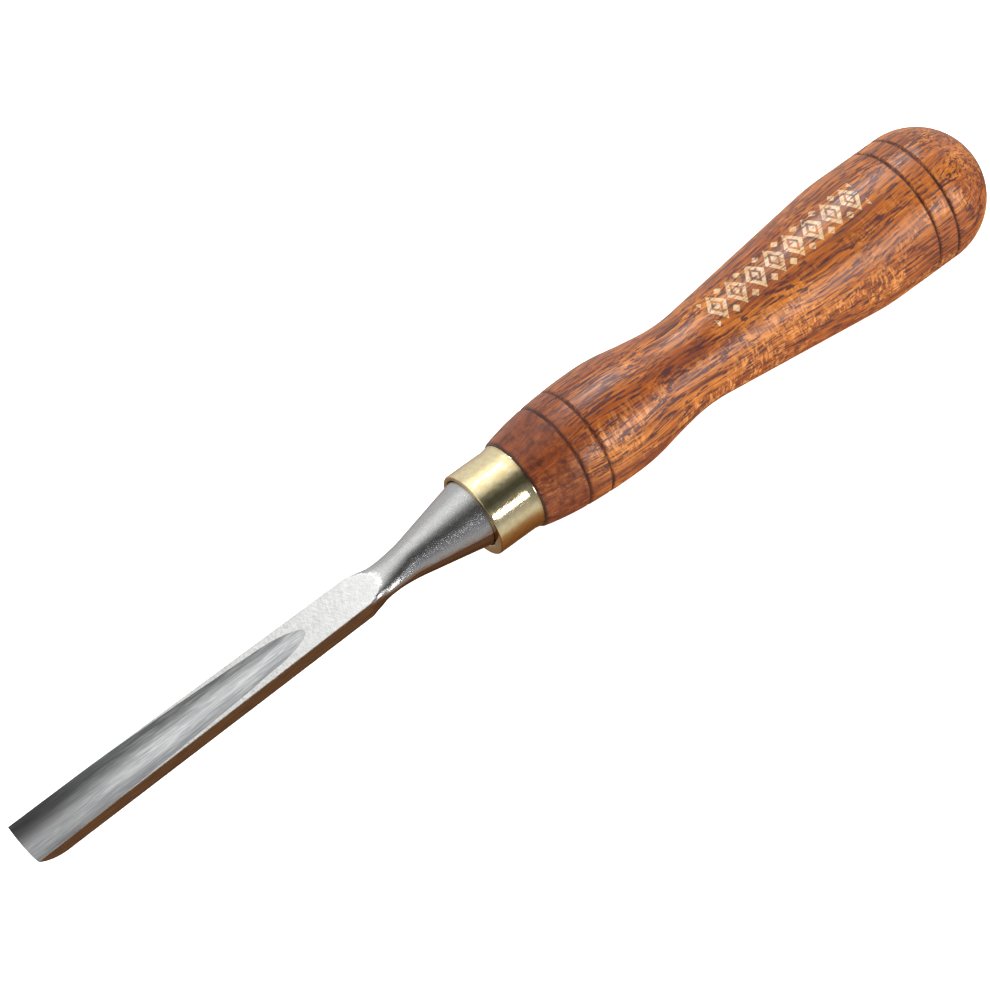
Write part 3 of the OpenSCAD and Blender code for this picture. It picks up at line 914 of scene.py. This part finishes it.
# Painted shadow: a thin near-black band on the wood right behind the ferrule's rim, the shade of the joint's
# gap.
painted_joint_shadow = level(t, calc(t, along, level(t, mottle, 0.3, 0.7, -0.12, 0.12)), -6.15, -5.75)
colour = tint(t, calc(t, painted_joint_shadow, 0.85, "MULTIPLY"), colour, (0.035, 0.016, 0.012))
t.links.new(colour, shader.inputs["Base Color"])
print("the border has", round((FOIL_FROM - FOIL_TO) / PERIOD), "lozenges")

# %% Lacquer over the wood
pits = calc(t, pore, calc(t, hair, 0.6, "MULTIPLY"))
height = calc(t, calc(t, fine, 0.35, "MULTIPLY"), pits, "SUBTRACT")
wood_relief = relief(t, height, 0.06, 0.55)
skin_wave = grain(t, spot, (0.28, 0.7, 0.7), 3.0, 0.55)
ridges = grain(t, fibre, (0.40, 2.8, 2.8), 4.0, 0.62)
swell = calc(t, skin_wave, calc(t, ridges, 1.7, "MULTIPLY"))
lacquer_height = calc(t, swell, calc(t, pits, 0.22, "MULTIPLY"), "SUBTRACT")
lacquer_relief = relief(t, lacquer_height, 0.09, 0.5)
t.links.new(wood_relief, shader.inputs["Normal"])
t.links.new(lacquer_relief, shader.inputs["Coat Normal"])
t.links.new(level(t, fine, 0.3, 0.7, 0.38, 0.55), shader.inputs["Roughness"])
shader.inputs["Specular IOR Level"].default_value = 0.1
shader.inputs["Coat Weight"].default_value = 0.58
shader.inputs["Coat Roughness"].default_value = 0.11
shader.inputs["Coat IOR"].default_value = 1.5
handle.data.materials.append(wood)
print("handle finish:", wood.name, "with", len(t.nodes), "nodes")

# %% [markdown]
# ## The bedding of the tang
#
# Hidden inside, the square tang is bedded in hard amber epoxy. Its solid from the frame is already
# right, so it keeps its own mesh and only gets a finish: a warm resin with stirred-in bubbles.

# %% Epoxy for the carried-over bedding
epoxy, t, shader = new_finish("amber_epoxy")
spot = in_mm(t)
stirred = grain(t, spot, (0.25, 0.6, 0.6), 4.0, 0.6, 1.2)
bubble = add(t, "TexVoronoi", {"Vector": spot, "Scale": 1.4}).outputs["Distance"]
colour = tint(t, level(t, stirred, 0.3, 0.7), (0.50, 0.30, 0.10), (0.72, 0.52, 0.24))
colour = tint(t, level(t, bubble, 0.16, 0.05, 0.0, 0.6), colour, (0.86, 0.72, 0.46))
t.links.new(colour, shader.inputs["Base Color"])
t.links.new(level(t, stirred, 0.3, 0.7, 0.22, 0.42), shader.inputs["Roughness"])
t.links.new(relief(t, bubble, 0.1, 0.4), shader.inputs["Normal"])
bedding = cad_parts["tang_adhesive"]
bedding.data.materials.clear()
bedding.data.materials.append(epoxy)
print("bedding finish:", epoxy.name)

# %% [markdown]
# ## Fasten the pieces to the frame
#
# Each detailed piece stands in for the frame's solid of the same part and rides on the one body.

# %% Ride and replace the frame's solids
for piece, node_name, slot_name in (
    (blade, "blade", "blade_steel"),
    (ferrule, "ferrule", "ferrule_brass"),
    (handle, "handle", "handle_wood"),
):
    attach(piece, "root")
    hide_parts(node_name)
    corners = [[round(1000 * v, 1) for v in corner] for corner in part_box(node_name)]
    co = 1000 * np.array([v.co for v in piece.data.vertices])
    print(node_name, "frame box mm", *corners)
    print(node_name, "piece box mm", np.round(co.min(0), 1), np.round(co.max(0), 1))

# %% [markdown]
# ## The table and the light
#
# Shiny metal shows its surroundings, so the light is planned by what each face mirrors: a small
# bright light and a pale band on the left, a thin soft light on the right, a dark gap between them
# for contrast, and a warm low surround that colours the undersides. The surround is painted on the
# world as a ramp of angle round the handle's axis, so it is the same from end to end. The table is a
# plain pale sheet.

# %% Directions of the view
ROLL, TILT, TURN = math.radians(35.65), math.radians(18.24), math.radians(31.56)
towards = np.array([math.sin(TILT), math.cos(TILT) * math.sin(TURN), math.cos(TILT) * math.cos(TURN)])
square_on = np.array([0.0, math.sin(TURN), math.cos(TURN)])
beside = np.array([0.0, math.cos(TURN), -math.sin(TURN)])
flat_axis = (-np.array([1.0, 0, 0]) + towards[0] * towards) / math.cos(TILT)
right = math.cos(ROLL) * flat_axis + math.sin(ROLL) * beside
up = math.sin(ROLL) * flat_axis - math.cos(ROLL) * beside
print("the view looks down at", round(math.degrees(math.asin(towards[2])), 1), "degrees")

# %% The surround
world = bpy.data.worlds.new("studio_surround")
bpy.context.scene.world = world
world.use_nodes = True
t = world.node_tree
sky = t.nodes["Background"]
direction = add(t, "TexCoord").outputs["Generated"]
ahead = add(t, "VectorMath", {0: direction, 1: tuple(square_on)}, operation="DOT_PRODUCT").outputs["Value"]
aside = add(t, "VectorMath", {0: direction, 1: tuple(beside)}, operation="DOT_PRODUCT").outputs["Value"]
turned = calc(t, aside, ahead, "ARCTAN2")
share = add(t, "MapRange", {"Value": turned, "From Min": -math.pi, "From Max": math.pi}).outputs[0]
SURROUND = [
    # angle round the axis from the view, in degrees, and the light's colour there
    (-180, (0.21, 0.155, 0.12)), (-156, (0.39, 0.32, 0.28)), (-140, (0.48, 0.46, 0.45)),
    (-120, (0.57, 0.57, 0.57)), (-92, (0.61, 0.61, 0.61)), (-77, (0.96, 0.96, 0.95)),
    (-52, (0.95, 0.95, 0.94)), (-36, (0.62, 0.62, 0.60)), (-21, (0.14, 0.14, 0.135)),
    (-7, (0.045, 0.047, 0.043)), (4, (0.040, 0.042, 0.038)), (15, (0.09, 0.092, 0.09)),
    (24, (0.17, 0.17, 0.175)), (42, (0.16, 0.16, 0.17)), (58, (0.29, 0.29, 0.30)),
    (72, (0.46, 0.46, 0.46)), (84, (0.44, 0.41, 0.37)), (96, (0.27, 0.18, 0.12)),
    (112, (0.19, 0.09, 0.04)), (140, (0.12, 0.05, 0.018)), (162, (0.12, 0.057, 0.025)),
    (180, (0.21, 0.155, 0.12)),
]
ramp = add(t, "ValToRGB", {0: share})
while len(ramp.color_ramp.elements) < len(SURROUND):
    ramp.color_ramp.elements.new(0.5)
for stop, (angle, tone) in zip(ramp.color_ramp.elements, SURROUND):
    stop.position = (angle + 180) / 360
    stop.color = (*tone, 1.0)
t.links.new(ramp.outputs[0], sky.inputs["Color"])
sky.inputs["Strength"].default_value = 1.4
print("the surround has", len(SURROUND), "stops")

# %% The two soft lights
def soft_light(name, angle, slide, reach, size_along, size_across, power):
    """A rectangular soft light, placed by its angle round the handle's axis."""
    a = math.radians(angle)
    way = math.cos(a) * square_on + math.sin(a) * beside
    data = bpy.data.lights.new(name, "AREA")
    data.shape, data.size, data.size_y, data.energy = "RECTANGLE", size_along, size_across, power
    lamp = bpy.data.objects.new(name, data)
    bpy.context.scene.collection.objects.link(lamp)
    z = Vector(way)
    x = Vector((1, 0, 0))
    y = z.cross(x).normalized()
    facing_axis = Matrix((x, y, z)).transposed().to_4x4()
    lamp.matrix_world = Matrix.Translation(Vector((slide, 0, 0)) + z * reach) @ facing_axis
    print(name, "at", [round(v, 2) for v in lamp.location])
    return lamp


soft_light("small_bright_light", -64, -0.315, 0.62, 0.17, 0.07, 1.55)
soft_light("thin_soft_light", 35, -0.385, 0.62, 0.53, 0.12, 2.3)

# %% Fill that lifts the wood and the table, and that the metal doesn't mirror
FILLS = (("fill_above", -20, 1.3, 1.3, 7.2), ("fill_beside", 62, 1.2, 0.9, 3.0))
for name, angle, reach, size, power in FILLS:
    fill = soft_light(name, angle, -0.05, reach, size, size, power)
    fill.visible_glossy = False

# %% The table
table_mesh = bpy.data.meshes.new("pale_table")
span, steps = 1.6, 24
row = steps + 1
grid = np.linspace(-span, span, row)
table_points = [(float(x), float(y), cad_low.z) for x in grid for y in grid]
table_faces = [(i * row + j, (i + 1) * row + j, (i + 1) * row + j + 1, i * row + j + 1)
               for i in range(steps) for j in range(steps)]
table_mesh.from_pydata(table_points, [], table_faces)
table = bpy.data.objects.new("pale_table", table_mesh)
bpy.context.scene.collection.objects.link(table)
paper, t, shader = new_finish("pale_paper")
tooth = grain(t, in_mm(t), (0.8, 0.8, 0.8), 4.0, 0.6)
t.links.new(tint(t, tooth, (0.93, 0.93, 0.93), (0.96, 0.96, 0.96)), shader.inputs["Base Color"])
shader.inputs["Roughness"].default_value = 0.9
shader.inputs["Specular IOR Level"].default_value = 0.0
shader.inputs["Emission Color"].default_value = (1.0, 1.0, 1.0, 1.0)
shader.inputs["Emission Strength"].default_value = 0.95
table.data.materials.append(paper)
table.visible_glossy = False
print("the table lies at z =", round(1000 * cad_low.z, 1), "mm")

# %% [markdown]
# ## The camera
#
# A long lens from above and in front keeps the blade and the handle in proportion. The camera is
# rolled so that the tool lies corner to corner.

# %% Place the camera
DISTANCE = 0.666
camera_data = bpy.data.cameras.new("view")
camera_data.sensor_width = 36.0
camera_data.lens = 121.2
camera_data.clip_start, camera_data.clip_end = 0.05, 20.0
camera = bpy.data.objects.new("view", camera_data)
bpy.context.scene.collection.objects.link(camera)
target = np.array([-0.001, 0.0, 0.0]) - 0.000759 * beside
place = target + DISTANCE * towards
camera.matrix_world = Matrix.Translation(Vector(place)) @ Matrix(
    (Vector(right), Vector(up), Vector(towards))).transposed().to_4x4()
bpy.context.scene.camera = camera
bpy.context.scene.view_settings.view_transform = "Standard"
print("camera at", [round(float(v), 3) for v in place])

# %% [markdown]
# ## The frame's size
#
# The looks must not change the tool's size, so the frame's box is printed.

# %% Print the frame's box and finish
bpy.context.view_layer.update()
print("frame box mm", [round(1000 * v, 2) for v in cad_low], [round(1000 * v, 2) for v in cad_high])
